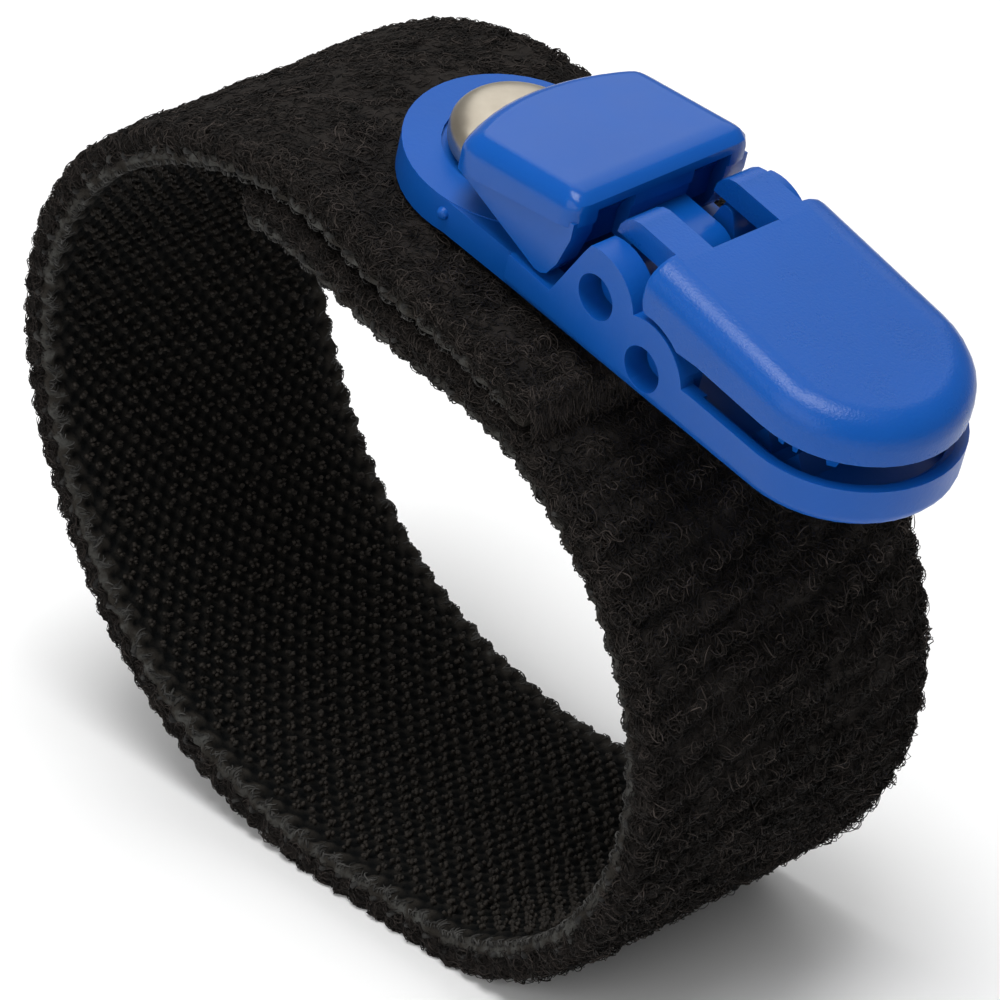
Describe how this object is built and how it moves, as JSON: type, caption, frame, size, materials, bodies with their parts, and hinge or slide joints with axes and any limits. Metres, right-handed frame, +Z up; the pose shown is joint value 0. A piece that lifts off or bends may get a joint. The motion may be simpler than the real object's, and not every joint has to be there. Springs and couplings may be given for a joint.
{
  "type": "esd wrist strap",
  "caption": "Hook-and-loop wrist band closed in a loop, with a swivelling lever clip held by a press stud; the jaw opens as the thumb lever lifts.",
  "frame": {"origin": "middle of the flat patch that the band rests on, half way across the band's width", "axes": "+X along the clip towards its nose, +Y along the band's axis (its width), +Z up, away from the resting patch"},
  "size_m": [0.0796, 0.0254, 0.0625],
  "materials": {
    "strap_pile_web": "brushed loop pile, matt black",
    "strap_hook_web": "moulded hooks on a dark web",
    "clip_base": "satin moulded plastic",
    "clip_jaw": "fine matt grain moulded plastic",
    "clip_lever": "glossy moulded plastic",
    "snap_cap": "nickel plated",
    "snap_rivet": "nickel plated",
    "snap_backing": "nickel plated"
  },
  "bodies": {
    "band": {"strap_pile_web": "strap_pile_web", "strap_hook_web": "strap_hook_web", "snap_cap": "snap_cap", "snap_rivet": "snap_rivet", "snap_backing": "snap_backing"},
    "clip": {"clip_base": "clip_base"},
    "lever": {"clip_lever": "clip_lever"},
    "jaw": {"clip_jaw": "clip_jaw"}
  },
  "joints": [
    {"name": "clip_swivel", "type": "hinge", "parent": "band", "child": "clip", "pos_m": [0.0001, 0, 0.0573], "axis": [0.2597, 0, 0.9657], "continuous": true},
    {"name": "lever_pivot", "type": "hinge", "parent": "clip", "child": "lever", "pos_m": [0.01666, 0, 0.05566], "axis": [0, 1, 0], "range_deg": [0, 50]},
    {"name": "jaw_pivot", "type": "hinge", "parent": "clip", "child": "jaw", "pos_m": [0.02114, 0, 0.05218], "axis": [0, -1, 0], "range_deg": [0, 10]}
  ],
  "couplings": [
    {"joint": "jaw_pivot", "follows": "lever_pivot", "ratio": 0.2}
  ]
}
